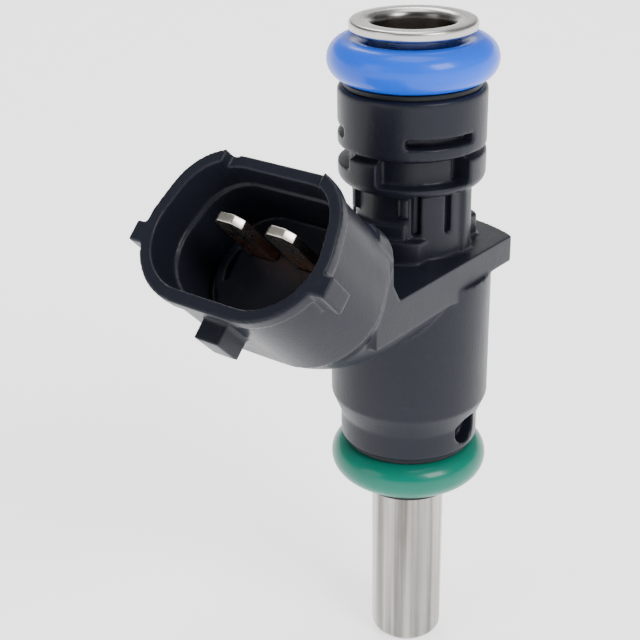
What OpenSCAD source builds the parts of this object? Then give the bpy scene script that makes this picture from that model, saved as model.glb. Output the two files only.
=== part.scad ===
// Port fuel injector: a solenoid valve in a moulded plastic body, with an angled two-pin
// connector, a long metal nose and a sealing ring at each end.
// The origin is the middle of the nozzle tip. +Z runs up the injector's axis towards the
// fuel inlet, the connector points towards -X, and all sizes are millimetres.

/* [Seals] */
// Distance between the middles of the two sealing rings
ring_pitch = 38; // [36:0.5:60]
// Thickness of the rubber of each sealing ring
ring_section = 3.53; // [2.6:0.01:4.4]
// Thickness of the support ring beside each sealing ring
support_t = 0.45; // [0.3:0.05:1]

/* [Nose] */
// Distance from the nozzle tip to the middle of the lower sealing ring
nose_len = 20.5; // [17:0.5:40]
// Outside radius of the nose tube
nose_r = 3.42; // [3:0.01:4.4]
// Wall of the nose tube
nose_wall = 0.42; // [0.3:0.02:0.6]
// Depth of the groove in the nose tube that holds the bush in place
nose_relief = 0.16; // [0.12:0.02:0.2]
// Rounding of the nose tube's lower edge
nose_round = 0.9; // [0.6:0.05:1.2]
// Opening in the turned-in end of the nose tube
tip_hole_r = 2.2; // [1.6:0.1:2.3]
// Wall of the inlet tube, and of the bush that carries the lower sealing ring
seat_wall = 0.32; // [0.2:0.02:0.6]
// Radius of the flange below the lower sealing ring
bush_flange_r = 4.7; // [4.4:0.1:6]
// Thickness of the flange below the lower sealing ring
bush_flange_t = 1.2; // [0.6:0.1:2]

/* [Body] */
// Height of the body from its lower end to the underside of the plate
body_h = 16.85; // [16:0.05:24]
// Plastic around the magnet housing
body_wall = 1.16; // [0.8:0.02:2]
// Step in from the body to the lower collar
collar_step = 0.86; // [0.4:0.02:1.2]
// Height of the lower collar
lower_collar_h = 2.55; // [1.8:0.05:4]
// Height of the cone from the lower collar to the body
lower_cone_h = 2.1; // [0.5:0.1:3]
// Radius of the round holes in the sides of the lower collar
side_hole_r = 1.45; // [0.5:0.05:1.7]
// Depth of the round holes in the lower collar
side_hole_depth = 1.4; // [0.5:0.1:1.6]

/* [Plate] */
// Thickness of the plate between body and neck
plate_t = 2.4; // [1.6:0.1:4]
// Distance that the plate's sides stand in from the body's radius
plate_side_step = 0.46; // [0:0.02:1]
// Distance that the middle of the plate's back edge stands out past the body's radius
plate_back_out = 0.64; // [0.2:0.02:2]
// Bulge of the plate's back edge
plate_bulge = 1.8; // [0.5:0.1:3]
// Extra depth of the plate's web in front of the body
web_drop = 0.9; // [0:0.1:2]

/* [Neck] */
// Plastic wall of the neck, outside the inlet tube
neck_wall = 1.74; // [1.2:0.02:3]
// Plastic wall of the collars, outside the inlet tube
collar_wall = 2.65; // [2:0.05:4]
// Plastic left behind the slots in the collars
slot_wall = 1.44; // [0.8:0.02:1.8]
// Height of the top collar
top_collar_h = 3.15; // [2:0.05:5]
// Height of the slot under the top collar
slot_h = 0.8; // [0.4:0.1:1.5]
// Height of the middle collar
mid_collar_h = 1.0; // [0.6:0.1:2]
// Height of the notch around the collars
notch_h = 0.6; // [0.4:0.05:1]
// Height of the low collar, from the notch down to its underside
low_collar_h = 2.8; // [2.4:0.1:4]
// Thickness of the ledge below the window
ledge_t = 0.5; // [0.3:0.05:0.8]
// Height of the ledge's lower edge above the low collar's underside
ledge_rise = 0.4; // [0.2:0.05:0.8]
// Height of the short window on the neck's other side
short_window_h = 1.3; // [0.6:0.1:1.6]
// Height of the flat-sided pad on the plate
pad_h = 2; // [1:0.1:3]
// Half of the pad's width
pad_half_w = 4; // [3:0.1:5]
// Height of the round step above the pad
step_h = 1.25; // [0.5:0.05:2]

/* [Connector] */
// Tilt of the connector up from level
conn_tilt = 45.6; // [35:0.2:55]
// Length of the connector from the injector's axis to its mouth
conn_len = 32.58; // [30:0.02:42]
// Height where the connector's axis meets the injector's, below the plate
conn_axis_drop = 12.92; // [11:0.02:14]
// Half of the mouth's width along its top
mouth_top_half_w = 8.36; // [7.6:0.02:11]
// Half of the mouth's width along its bottom
mouth_bottom_half_w = 8.8; // [7.8:0.02:11]
// Half of the mouth's height
mouth_half_h = 6.6; // [6.2:0.05:8]
// Corner radius along the top of the mouth
mouth_top_r = 5.23; // [3:0.01:5.5]
// Corner radius along the bottom of the mouth
mouth_bottom_r = 6.03; // [3:0.01:6.2]
// Wall of the connector's shroud
conn_wall = 1.1; // [0.8:0.05:1.8]
// Height that the rim's bead stands proud of the shroud
bead_proud = 0.35; // [0.1:0.05:0.6]
// Length of the rim's bead along the connector
bead_len = 1.2; // [0.6:0.1:2]
// Depth of the socket
socket_depth = 8.6; // [7:0.1:9.5]
// Half of the width of the notch in the top of the rim
rim_notch_half_w = 4.75; // [3:0.05:6]
// Depth of the notch in the top of the rim
rim_notch_depth = 1.05; // [0.5:0.05:2]
// Depth of the wider part of the socket, next to the rim
socket_step_depth = 3.4; // [1:0.1:5]
// Step in from the wider part of the socket to its lower part
socket_step = 0.35; // [0.1:0.05:0.5]
// Height of the raised island on the socket's floor, round the blades
island_h = 1.5; // [0.5:0.1:3]
// Half of the island's width
island_half_w = 4.8; // [4:0.1:6]
// Height of the island's top edge above the middle of the mouth
island_top_v = 2; // [1.8:0.1:3]
// Distance from the mouth to where the underside starts to bend
shroud_len = 7.6; // [5:0.1:12]
// Radius of the bend along the connector's underside
belly_r = 18.2; // [15:0.1:24]
// Gap between the connector's back face and the neck
back_gap = 6.6; // [5:0.1:7]

/* [Terminals] */
// Distance between the middles of the two blades
blade_pitch = 5; // [4:0.1:6.5]
// Width of a blade
blade_w = 2.8; // [1.5:0.05:3.2]
// Thickness of a blade
blade_t = 0.8; // [0.5:0.05:1]
// Distance of a blade's tip below the rim
blade_recess = 0.93; // [0.5:0.01:3]
// Height of the blades above the middle of the mouth
blade_rise = 1.24; // [0:0.02:2]
// Width of a terminal's foot inside the body
foot_w = 1.4; // [0.8:0.1:2.4]

/* [Magnet] */
// Gap between the nose tube and the bobbin
bobbin_gap = 0.08; // [0.04:0.02:0.3]
// Wall of the bobbin's barrel
bobbin_wall = 0.4; // [0.3:0.05:0.8]
// Thickness of each bobbin flange
bobbin_flange_t = 0.6; // [0.4:0.05:1]
// Height of the bobbin
bobbin_h = 6.6; // [5:0.1:8]
// Depth of the winding on the bobbin
winding_depth = 1.3; // [0.8:0.05:2]
// Thickness of one layer's wire
winding_wire = 0.335; // [0.2:0.005:0.5]
// Distance that the bobbin's flanges stand out past the winding
flange_over = 0.18; // [0.1:0.02:0.4]
// Wall of the magnet housing
can_wall = 0.6; // [0.4:0.05:1]
// Floor of the magnet housing
can_floor = 1; // [0.6:0.1:1.5]
// Wall of the magnet housing's narrow neck
can_neck_wall = 0.96; // [0.5:0.02:1.2]
// Thickness of the flux cover on top of the coil
flux_t = 1; // [0.6:0.1:1.4]

/* [Valve] */
// Radius of the valve ball
ball_r = 1.6; // [1.3:0.05:1.9]
// Opening under the ball
seat_hole_r = 0.6; // [0.4:0.05:0.8]
// Travel of the valve when it opens
lift = 0.1; // [0.05:0.01:0.2]
// Length of the armature
armature_h = 6.9; // [5:0.1:9]
// Outside radius of the needle tube
needle_r = 1; // [0.8:0.05:1.2]
// Bore of the needle tube, as a radius
needle_bore_r = 0.6; // [0.4:0.05:0.7]
// Bore of the stator and spring pocket, as a radius
spring_bore_r = 1.5; // [1.4:0.05:1.8]
// Thickness of the return spring's wire
spring_wire = 0.35; // [0.2:0.01:0.45]
// Turns of the return spring
spring_turns = 9; // [6:1:12]
// Length of the adjusting sleeve
adjuster_h = 4; // [2:0.1:6]
// Thickness of the orifice plate
orifice_t = 0.25; // [0.15:0.05:0.4]
// Radius of each spray hole
spray_r = 0.15; // [0.1:0.01:0.25]

/* [Inlet] */
// Height of the inlet's rim above the middle of the upper sealing ring
inlet_rise = 3.2; // [2.8:0.05:5]
// Radius of the flange at the inlet's rim
inlet_flange_r = 5.42; // [5.2:0.02:7]
// Thickness of the flange at the inlet's rim
inlet_flange_t = 0.9; // [0.5:0.05:1.2]
// Radius of the rounded mouth of the inlet
inlet_mouth_round = 0.8; // [0.4:0.05:1.2]
// Length of the fuel filter
filter_h = 12.5; // [8:0.1:14]

/* [Hidden] */
$fn = 96;

// Gaps between pieces that are pressed or moulded together, and running gaps
press_gap = 0.02;
running_gap = 0.06;
ball_gap = 0.03;
seat_gap = 0.01;
seal_gap = 0.035;
// A cut runs this far past the face that it opens
over = 1;

// Steps and offsets of the hidden pieces
panel_step = 0.35;
support_step = 0.4;
can_below_plate = 0.6;
bobbin_below_can = 0.4;
bobbin_above_floor = 0.2;
can_neck_rise = 1.2;
inlet_gap = 0.05;
sleeve_overlap = 1.95;
stator_drop = 0.8;
stator_rise = 1;
seat_floor_t = 0.35;
seat_over = 0.48;
guide_h = 0.9;
stop_gap = 0.01;
pocket_rise = 2;
adjuster_rise = 3.5;
filter_ring_wall = 0.4;
filter_ring_h = 2;
filter_ring_drop = 2.1;
filter_frame_wall = 0.6;
lead_r = 0.15;
lead_gap = 0.05;
lead_hole_r = 0.24;
flux_cut_gap = 0.7;

// Radii, from the nose tube outwards
bore_r = nose_r - nose_wall;
seal_seat_r = nose_r + press_gap + seat_wall;
ring_r = seal_seat_r + ring_section / 2;
bobbin_bore_r = nose_r + bobbin_gap;
barrel_r = bobbin_bore_r + bobbin_wall;
winding_r = barrel_r + winding_depth;
bobbin_flange_r = winding_r + flange_over;
can_bore_r = bobbin_flange_r + bobbin_gap;
can_r = can_bore_r + can_wall;
can_neck_r = nose_r + press_gap + can_neck_wall;
body_r = can_r + body_wall;
lower_collar_r = body_r - collar_step;
neck_r = seal_seat_r + neck_wall;
collar_r = seal_seat_r + collar_wall;
slot_floor_r = seal_seat_r + slot_wall;
panel_r = neck_r - panel_step;
plate_half_w = body_r - plate_side_step;
plate_back_x = body_r + plate_back_out;
plate_back_r = (pow(plate_half_w, 2) + pow(plate_bulge, 2)) / (2 * plate_bulge);
support_r = lower_collar_r - support_step;

// Heights, from the nozzle tip upwards
lower_ring_z = nose_len;
upper_ring_z = nose_len + ring_pitch;
body_low_z = lower_ring_z + ring_section / 2 + seal_gap + support_t;
nose_free_z = lower_ring_z - ring_section / 2 - seal_gap - bush_flange_t;
bush_top_z = body_low_z - support_t;
plate_low_z = body_low_z + body_h;
plate_top_z = plate_low_z + plate_t;
collar_top_z = upper_ring_z - ring_section / 2 - seal_gap - support_t;
slot_top_z = collar_top_z - top_collar_h;
slot_low_z = slot_top_z - slot_h;
notch_top_z = slot_low_z - mid_collar_h;
notch_low_z = notch_top_z - notch_h;
collar_low_z = notch_low_z - low_collar_h;
pad_top_z = plate_top_z + pad_h;
inlet_top_z = upper_ring_z + inlet_rise;
can_top_z = plate_low_z - can_below_plate;
flux_top_z = can_top_z + flux_t;
bobbin_top_z = can_top_z - bobbin_below_can;
bobbin_low_z = bobbin_top_z - bobbin_h;
can_floor_z = bobbin_low_z - bobbin_above_floor;
can_low_z = can_floor_z - can_floor;
can_neck_low_z = body_low_z + can_neck_rise;
inlet_low_z = flux_top_z + inlet_gap;
sleeve_top_z = inlet_low_z + sleeve_overlap;
stator_low_z = (bobbin_low_z + bobbin_top_z) / 2 - stator_drop;
stator_top_z = sleeve_top_z + stator_rise;

// Valve, from the nozzle tip upwards
plate_z = nose_wall;
seat_z = plate_z + orifice_t;
seat_floor_z = seat_z + seat_floor_t;
seat_top_r = ball_r + seat_over;
seat_top_z = seat_floor_z + seat_top_r - seat_hole_r;
contact_r = ball_r * cos(45);
ball_z = seat_floor_z + contact_r - seat_hole_r + contact_r + seat_gap / cos(45);
armature_top_z = stator_low_z - lift - stop_gap;
armature_low_z = armature_top_z - armature_h;
pocket_z = armature_low_z + pocket_rise;
adjuster_low_z = stator_low_z + adjuster_rise;

// Connector frame: u across, v up the mouth's face, w out along the connector
conn_axis_z = plate_low_z - conn_axis_drop;
socket_floor_w = conn_len - socket_depth;
bend_w = conn_len - shroud_len;
shroud_half_h = mouth_half_h - bead_proud;
bend_v = belly_r - shroud_half_h;
bend_x = bend_v * sin(conn_tilt) - bend_w * cos(conn_tilt);
back_x = -neck_r - back_gap;
web_low_z = plate_low_z - web_drop;
// The wide shroud ends this far behind the socket's floor, and tapers to the plate's width
floor_t = 1;
taper_turn = 24;
block_top_r = 2;
block_flat = 0.05;
block_bottom_r = min(plate_half_w, shroud_half_h) - block_flat;
// The web in front of the body starts this far in front of the connector's back face
web_front = 2.5;
// Depth that the neck's ribs are rooted in the plastic behind them
rib_root = 0.5;
// The blades have their full width from this far behind the socket's floor
blade_root = 1.2;
// Height of the round side holes' middles above the lower collar's lower end
side_hole_rise = 2.15;
blade_tip_w = conn_len - blade_recess;
leg_z = (web_low_z + plate_top_z) / 2;
leg_w = (leg_z - conn_axis_z - blade_rise * cos(conn_tilt)) / sin(conn_tilt);
leg_x = blade_rise * sin(conn_tilt) - leg_w * cos(conn_tilt);
foot_far_y = blade_pitch / 2 + foot_w / 2;
foot_far_x = sqrt(pow(can_bore_r - bobbin_gap, 2) - pow(foot_far_y, 2));
foot_x = blade_t / 2 - foot_far_x;
lead_x = -foot_far_x - lead_gap - lead_r;

// Places the connector's u, v and w along the object's own axes
module in_connector() {
    translate([0, 0, conn_axis_z])
        rotate([0, conn_tilt - 90, 0])
            rotate([0, 0, -90])
                children();
}

// Ring with a square section, from z0 up to z1
module ring(outer_r, inner_r, z0, z1) {
    difference() {
        translate([0, 0, z0]) cylinder(r = outer_r, h = z1 - z0);
        translate([0, 0, z0 - over]) cylinder(r = inner_r, h = z1 - z0 + 2 * over);
    }
}

// Part of a square-section ring, from angle a0 round to a1
module ring_sector(inner_r, outer_r, z0, z1, a0, a1) {
    rotate([0, 0, a0])
        rotate_extrude(angle = a1 - a0)
            translate([inner_r, z0]) square([outer_r - inner_r, z1 - z0]);
}

// Outward direction of the line that touches two circles on their right-hand side
function tangent_dir(c1, r1, c2, r2) =
    let (d = c2 - c1, turn = atan2(d[1], d[0]) - acos((r1 - r2) / norm(d)))
    [cos(turn), sin(turn)];

// Trapezoid with round corners, from its half-widths along the top and the bottom
module rounded_trapezoid(top_half_w, bottom_half_w, half_h, top_r, bottom_r) {
    top_c = [top_half_w - top_r, half_h - top_r];
    bottom_c = [bottom_half_w - bottom_r, bottom_r - half_h];
    out = tangent_dir(bottom_c, bottom_r, top_c, top_r);
    top_p = top_c + top_r * out;
    bottom_p = bottom_c + bottom_r * out;
    for (side = [-1, 1]) {
        translate([side * top_c[0], top_c[1]]) circle(r = top_r);
        translate([side * bottom_c[0], bottom_c[1]]) circle(r = bottom_r);
    }
    polygon([[-top_c[0], half_h], [top_c[0], half_h], top_p, bottom_p,
             [bottom_c[0], -half_h], [-bottom_c[0], -half_h],
             [-bottom_p[0], bottom_p[1]], [-top_p[0], top_p[1]]]);
}

// The mouth's outline, moved in by an inset all round
module mouth_outline(inset) {
    rounded_trapezoid(mouth_top_half_w - inset, mouth_bottom_half_w - inset,
                      mouth_half_h - inset, mouth_top_r - inset, mouth_bottom_r - inset);
}

// Outline of the narrow block behind the shroud, moved in by an inset all round
module block_outline(inset) {
    half_w = plate_half_w - inset;
    rounded_trapezoid(half_w, half_w, shroud_half_h - inset,
                      block_top_r - inset, block_bottom_r - inset);
}

// Stands an outline beside the axis that the connector's underside bends about
module beside_bend_axis() {
    translate([bend_v, 0]) rotate(90) children();
}

// Frame of the bend: Z along its axis, X down to the underside, Y back towards the body
module in_bend() {
    in_connector()
        translate([0, bend_v, bend_w])
            multmatrix([[0, 0, 1, 0], [-1, 0, 0, 0], [0, -1, 0, 0], [0, 0, 0, 1]])
                children();
}

// Wide shroud, from behind the socket's floor to the mouth, with the bead round its rim
module shroud() {
    low_w = socket_floor_w - floor_t;
    bead_w = conn_len - bead_len;
    in_connector() {
        translate([0, 0, low_w]) linear_extrude(bead_w - low_w) mouth_outline(bead_proud);
        translate([0, 0, bead_w]) linear_extrude(bead_len) mouth_outline(0);
    }
}

// Narrow block that bends from the shroud's direction to level and runs into the body
module bent_block() {
    in_bend() {
        rotate_extrude(angle = conn_tilt) beside_bend_axis() block_outline(0);
        rotate([0, 0, conn_tilt])
            translate([0, -bend_x, 0])
                rotate([90, 0, 0])
                    linear_extrude(-bend_x) beside_bend_axis() block_outline(0);
    }
}

// Smooth change from the wide shroud to the narrow block; both its ends are sunk a little
module shroud_taper() {
    slice_t = 0.05;
    sunk = 0.2;
    hull() {
        in_connector()
            translate([0, 0, socket_floor_w - floor_t + sunk])
                linear_extrude(slice_t) mouth_outline(bead_proud + sunk, $fn = 32);
        in_bend()
            rotate([0, 0, taper_turn])
                rotate([90, 0, 0])
                    linear_extrude(slice_t) beside_bend_axis() block_outline(sunk, $fn = 32);
    }
}

// Everything in front of the block's back face and below the plate's top
module block_side_view() {
    chamfer = [0.9, 1.6];
    far = conn_len + inlet_top_z;
    rotate([90, 0, 0])
        linear_extrude(far, center = true)
            polygon([[-far, 0], [0, 0], [0, plate_top_z], [back_x + chamfer[0], plate_top_z],
                     [back_x, plate_top_z + chamfer[1]], [back_x, far], [-far, far]]);
}

// Outline of the plate, with its bulged back edge, as seen from above
module plate_outline() {
    intersection() {
        translate([plate_back_x - plate_back_r, 0]) circle(r = plate_back_r);
        translate([back_x, -plate_half_w]) square([plate_back_x - back_x, 2 * plate_half_w]);
    }
}

// Profile of the neck's collars, outside the bore, from the underside to the top
module collar_profile() {
    under_round = 0.9;
    top_round = 0.35;
    notch_depth = 0.75;
    notch_r = collar_r - notch_depth;
    translate([seal_seat_r, collar_low_z + under_round])
        square([collar_wall, notch_low_z - collar_low_z - under_round]);
    translate([seal_seat_r, collar_low_z]) square([collar_wall - under_round, under_round]);
    translate([collar_r - under_round, collar_low_z + under_round]) circle(r = under_round);
    translate([seal_seat_r, notch_low_z]) square([notch_r - seal_seat_r, notch_h]);
    polygon([[notch_r, notch_low_z], [collar_r, notch_low_z], [notch_r, notch_low_z + notch_h / 2]]);
    translate([seal_seat_r, notch_top_z])
        square([collar_wall, collar_top_z - top_round - notch_top_z]);
    translate([seal_seat_r, collar_top_z - top_round])
        square([collar_wall - top_round, top_round]);
    translate([collar_r - top_round, collar_top_z - top_round]) circle(r = top_round);
}

// Slots and windows in the collars, the same on both sides of the connector's plane
module collar_cuts() {
    slot_turns = [-150.6, -93];
    window_turns = [-173.6, -95.7];
    short_window_turns = [95.7, 158];
    pocket_turns = [-104, -95.7];
    pocket_depth = 0.7;
    window_top_z = notch_low_z + notch_h / 2;
    window_low_z = collar_low_z + ledge_rise + ledge_t;
    short_window_low_z = window_top_z - short_window_h;
    out_r = collar_r + over;
    for (side = [0, 1])
        mirror([0, side, 0])
            ring_sector(slot_floor_r, out_r, slot_low_z, slot_top_z, slot_turns[0], slot_turns[1]);
    ring_sector(slot_floor_r, out_r, short_window_low_z, window_top_z,
                short_window_turns[0], short_window_turns[1]);
    ring_sector(slot_floor_r, out_r, window_low_z, window_top_z, window_turns[0], window_turns[1]);
    ring_sector(slot_floor_r - pocket_depth, out_r, window_low_z, window_top_z,
                pocket_turns[0], pocket_turns[1]);
}

// Column, pad, ledge and ribs between the plate and the collars
module neck() {
    sunk = 0.1;
    pad_step = 0.55;
    thick_rib_rise = 0.8;
    thick_rib_out = 0.1;
    pad_r = neck_r + pad_step;
    step_top_z = pad_top_z + step_h;
    translate([0, 0, plate_top_z - over])
        cylinder(r = panel_r, h = collar_low_z - plate_top_z + 2 * over);
    intersection() {
        translate([0, 0, plate_top_z - sunk]) cylinder(r = pad_r, h = pad_h + sunk);
        translate([-pad_r, -pad_half_w, plate_top_z - sunk])
            cube([2 * pad_r, 2 * pad_half_w, pad_h + sunk]);
    }
    for (side = [0, 1])
        mirror([0, side, 0]) {
            neck_rib(-90, -74, plate_top_z - sunk, neck_r);
            neck_rib(-156, -148, step_top_z + thick_rib_rise, neck_r + thick_rib_out);
            neck_rib(-186, -150, pad_top_z - sunk, neck_r, step_top_z);
            neck_rib(-6, 24, plate_top_z - sunk, neck_r);
        }
}

// Rib on the neck from angle a0 round to a1, from z0 up to the collars or to a given height
module neck_rib(a0, a1, z0, outer_r, z1 = collar_low_z + rib_root) {
    ring_sector(panel_r - rib_root, outer_r, z0, z1, a0, a1);
}

// Deep upright slots in the neck, beside its ribs
module neck_slots() {
    depth = 1.1;
    rise = 0.3;
    for (side = [0, 1], turns = [[-111, -104], [-145, -137]])
        mirror([0, side, 0])
            ring_sector(neck_r - depth, neck_r + over, pad_top_z + rise, collar_low_z + rise,
                        turns[0], turns[1]);
}

// Round corners where the lower collar, its cone and the body follow each other
module lower_body() {
    edge_round = 0.35;
    cone_low_z = body_low_z + lower_collar_h;
    cone_top_z = cone_low_z + lower_cone_h;
    rotate_extrude() {
        translate([0, body_low_z + edge_round])
            square([lower_collar_r, lower_collar_h - edge_round]);
        translate([0, body_low_z]) square([lower_collar_r - edge_round, edge_round]);
        translate([lower_collar_r - edge_round, body_low_z + edge_round]) circle(r = edge_round);
        polygon([[0, cone_low_z], [lower_collar_r, cone_low_z], [body_r, cone_top_z], [0, cone_top_z]]);
        translate([0, cone_top_z]) square([body_r, plate_low_z - cone_top_z]);
    }
}

// Two side lugs and one bottom lug that lock the plug's latch
module lugs() {
    side_lug = [1.6, 1.75, 3];
    side_lug_v = -2.03;
    bottom_lug = [2.4, 2.05, 3];
    bottom_lug_back = 2.4;
    root = 0.2;
    side_root_u = (mouth_top_half_w + mouth_bottom_half_w) / 2 - bead_proud - root;
    in_connector() {
        for (side = [-1, 1])
            translate([side * (side_root_u + side_lug[0] / 2), side_lug_v, conn_len - side_lug[2] / 2])
                cube(side_lug, center = true);
        translate([0, root - shroud_half_h - bottom_lug[1] / 2,
                   conn_len - bottom_lug_back - bottom_lug[2] / 2])
            cube(bottom_lug, center = true);
    }
}

// The socket, down to its floor, round the raised island and its two side ribs
module socket() {
    island_w = socket_floor_w + island_h;
    rib_t = 0.9;
    rib_gap = 1.1;
    inner = conn_wall + socket_step;
    in_connector() {
        translate([0, 0, conn_len - socket_step_depth])
            linear_extrude(socket_step_depth + over) mouth_outline(conn_wall);
        translate([0, 0, island_w])
            linear_extrude(conn_len - socket_step_depth - island_w) mouth_outline(inner);
        translate([0, 0, socket_floor_w])
            linear_extrude(island_h)
                difference() {
                    mouth_outline(inner);
                    translate([-island_half_w, -mouth_half_h])
                        square([2 * island_half_w, mouth_half_h + island_top_v]);
                    difference() {
                        mouth_outline(inner + rib_gap);
                        mouth_outline(inner + rib_gap + rib_t);
                        translate([-mouth_bottom_half_w, island_top_v])
                            square([2 * mouth_bottom_half_w, mouth_half_h]);
                    }
                }
        translate([-rim_notch_half_w, 0, conn_len - rim_notch_depth])
            cube([2 * rim_notch_half_w, mouth_half_h + over, rim_notch_depth + over]);
    }
}

// One terminal: a blade in the socket, a level leg inside the body and a foot at the coil
module terminal(side) {
    y = -side * blade_pitch / 2;
    tip_chamfer = 0.7;
    taper = 1;
    foot_gap = 0.02;
    half_w = blade_w / 2;
    half_foot = foot_w / 2;
    wide = socket_floor_w - blade_root - leg_w;
    tip = blade_tip_w - leg_w;
    right_edge = [[half_foot, 0], [half_foot, wide - taper], [half_w, wide],
                  [half_w, tip - tip_chamfer], [half_w - tip_chamfer, tip]];
    left_edge = [for (i = [len(right_edge) - 1:-1:0]) [-right_edge[i][0], right_edge[i][1]]];
    in_connector()
        translate([side * blade_pitch / 2, blade_rise + blade_t / 2, leg_w])
            rotate([90, 0, 0])
                linear_extrude(blade_t) polygon(concat(right_edge, left_edge));
    translate([leg_x - blade_t / 2, y - half_foot, leg_z - blade_t / 2])
        cube([foot_x - leg_x + blade_t, foot_w, blade_t]);
    translate([foot_x - blade_t / 2, y - half_foot, bobbin_top_z + foot_gap])
        cube([blade_t, foot_w, leg_z - bobbin_top_z]);
}

// Room inside the plastic for the magnet housing, the tubes and the flux cover
module metal_room() {
    gap = press_gap;
    translate([0, 0, body_low_z - over]) cylinder(r = nose_r + gap, h = plate_low_z - body_low_z);
    translate([0, 0, can_neck_low_z - gap])
        cylinder(r = can_neck_r + gap, h = can_low_z - can_neck_low_z + 2 * gap);
    translate([0, 0, can_low_z - gap])
        cylinder(r = can_r + gap, h = flux_top_z - can_low_z + 2 * gap);
    translate([0, 0, flux_top_z]) cylinder(r = seal_seat_r + gap, h = inlet_top_z - flux_top_z);
}

module body_overmold() {
    color("#23262e")
        difference() {
            union() {
                lower_body();
                translate([0, 0, plate_low_z]) linear_extrude(plate_t) plate_outline();
                translate([back_x - web_front, -plate_half_w, web_low_z])
                    cube([-back_x, 2 * plate_half_w, plate_top_z - web_low_z]);
                intersection() {
                    block_side_view();
                    union() {
                        shroud();
                        shroud_taper();
                        bent_block();
                    }
                }
                lugs();
                neck();
                rotate_extrude() collar_profile();
            }
            socket();
            collar_cuts();
            neck_slots();
            metal_room();
            for (side = [-1, 1]) {
                terminal(side);
                translate([0, side * (lower_collar_r - side_hole_depth), body_low_z + side_hole_rise])
                    rotate([-90 * side, 0, 0]) cylinder(r = side_hole_r, h = side_hole_depth + over);
            }
        }
}

module inlet_tube() {
    flange_low_z = inlet_top_z - inlet_flange_t;
    edge_round = 0.3;
    root_round = 0.45;
    root_sunk = 0.02;
    inner_r = nose_r + press_gap;
    mouth_low_z = inlet_top_z - inlet_mouth_round;
    color("#b9b6b0")
        rotate_extrude() {
            translate([inner_r, inlet_low_z]) square([seat_wall, mouth_low_z + root_sunk - inlet_low_z]);
            intersection() {
                translate([inner_r, mouth_low_z]) square([inlet_mouth_round, inlet_mouth_round]);
                translate([inner_r + inlet_mouth_round, mouth_low_z]) circle(r = inlet_mouth_round);
            }
            translate([inner_r + inlet_mouth_round, flange_low_z])
                square([inlet_flange_r - edge_round - inner_r - inlet_mouth_round, inlet_flange_t]);
            translate([seal_seat_r, flange_low_z])
                square([inlet_mouth_round, mouth_low_z + root_sunk - flange_low_z]);
            translate([inlet_flange_r - edge_round, flange_low_z + edge_round])
                square([edge_round, inlet_flange_t - 2 * edge_round]);
            for (z = [flange_low_z + edge_round, inlet_top_z - edge_round])
                translate([inlet_flange_r - edge_round, z]) circle(r = edge_round);
            difference() {
                translate([seal_seat_r, flange_low_z - root_round]) square([root_round, root_round]);
                translate([seal_seat_r + root_round, flange_low_z - root_round]) circle(r = root_round);
            }
        }
}

module o_ring(z) {
    translate([0, 0, z])
        rotate_extrude()
            translate([ring_r, 0]) circle(r = ring_section / 2);
}

module upper_o_ring() {
    color("#0a78dc") o_ring(upper_ring_z);
}

module lower_o_ring() {
    color("#0e8f76") o_ring(lower_ring_z);
}

module upper_support_ring() {
    color("#15171c") ring(support_r, seal_seat_r + press_gap, collar_top_z, collar_top_z + support_t);
}

module lower_support_ring() {
    color("#15171c") ring(support_r, nose_r + press_gap, bush_top_z, body_low_z);
}

// Flanged bush, moulded into the nose tube's groove, that the lower sealing ring sits on
module seal_bush() {
    bush_low_z = nose_free_z + press_gap;
    color("#3a3d44")
        difference() {
            union() {
                translate([0, 0, bush_low_z])
                    cylinder(r = seal_seat_r, h = bush_top_z - press_gap - bush_low_z);
                translate([0, 0, bush_low_z]) cylinder(r = bush_flange_r, h = bush_flange_t - press_gap);
            }
            translate([0, 0, bush_low_z - over])
                cylinder(r = nose_r - nose_relief + press_gap, h = body_low_z - bush_low_z + over);
        }
}

module filter_ring() {
    top_z = inlet_top_z - filter_ring_drop;
    outer_r = nose_r + press_gap / 2;
    color("#b08d4a") ring(outer_r, nose_r - filter_ring_wall, top_z - filter_ring_h, top_z);
}

// Outside radius of the filter's frame, and the radius of the mesh inside it
filter_r = nose_r - filter_ring_wall - press_gap;
filter_mesh_r = filter_r - filter_frame_wall;
filter_top_z = inlet_top_z - filter_ring_drop - 0.2;
filter_collar_h = 1.6;

// Moulded cage that holds the filter mesh: a top ring, four ribs and a closed foot
module filter_frame() {
    low_z = filter_top_z - filter_h;
    rib_half_turn = 12;
    rib_r = filter_r - 0.3;
    foot_h = 0.8;
    color("#d8d2c0") {
        ring(filter_r, filter_mesh_r - 0.3, filter_top_z - filter_collar_h, filter_top_z);
        translate([0, 0, low_z]) cylinder(r = rib_r, h = foot_h);
        for (turn = [0:90:270])
            ring_sector(filter_mesh_r + press_gap, rib_r, low_z, filter_top_z - filter_collar_h / 2,
                        turn - rib_half_turn, turn + rib_half_turn);
    }
}

module filter_mesh() {
    mesh_t = 0.15;
    foot_rise = 0.8;
    color("#c9c4b4")
        ring(filter_mesh_r, filter_mesh_r - mesh_t,
             filter_top_z - filter_h + foot_rise, filter_top_z - filter_collar_h);
}

module terminal_left() {
    color("#c8c2b8") terminal(-1);
}

module terminal_right() {
    color("#c8c2b8") terminal(1);
}

module coil_bobbin() {
    color("#d9d4c4")
        difference() {
            union() {
                ring(barrel_r, bobbin_bore_r, bobbin_low_z, bobbin_top_z);
                ring(bobbin_flange_r, bobbin_bore_r, bobbin_low_z, bobbin_low_z + bobbin_flange_t);
                ring(bobbin_flange_r, bobbin_bore_r, bobbin_top_z - bobbin_flange_t, bobbin_top_z);
            }
            for (side = [-1, 1])
                translate([lead_x, side * blade_pitch / 2, bobbin_top_z - over])
                    cylinder(r = lead_hole_r, h = 2 * over);
        }
}

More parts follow.
